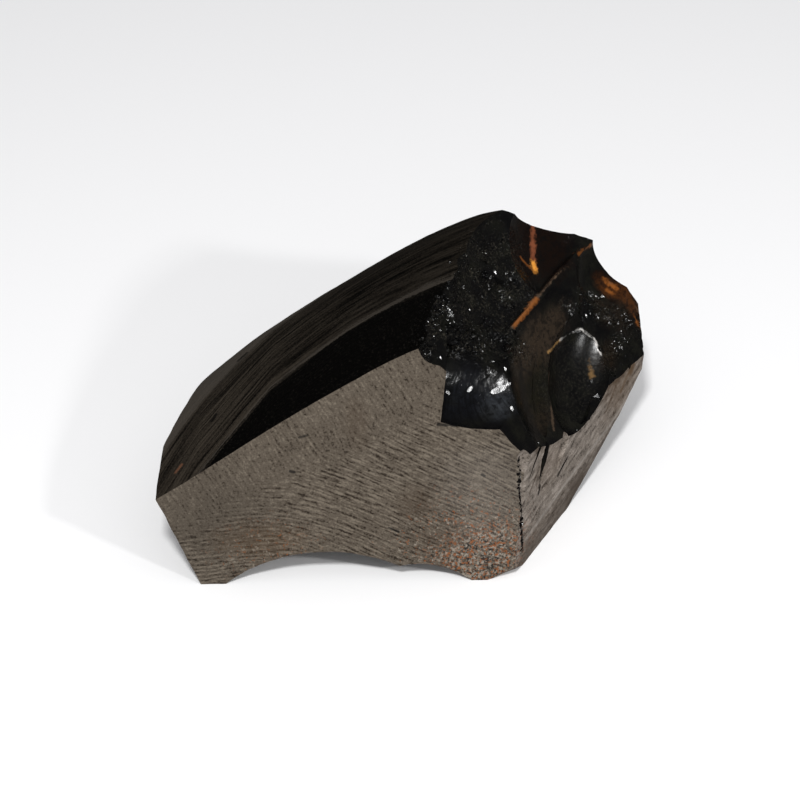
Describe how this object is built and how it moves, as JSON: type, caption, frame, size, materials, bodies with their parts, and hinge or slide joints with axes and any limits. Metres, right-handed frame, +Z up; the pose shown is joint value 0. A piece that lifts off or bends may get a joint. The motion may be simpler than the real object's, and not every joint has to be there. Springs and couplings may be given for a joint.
{
  "type": "shungite specimen",
  "caption": "Hand-sized lump of shungite: flat ribbed front, streaked black roof and a glossy broken end of shell-shaped hollows.",
  "frame": {"origin": "middle of the stone's bounding box in plan, on the surface it rests on", "axes": "+Z up, +X along the stone's length towards its broken end, -Y towards the flat ribbed front"},
  "size_m": [0.0742, 0.0538, 0.0395],
  "materials": {
    "shungite": "matte on the flat front and right side, satin on the rounded top, glassy on the broken end"
  },
  "bodies": {
    "root": {"shungite": "shungite"}
  },
  "joints": []
}
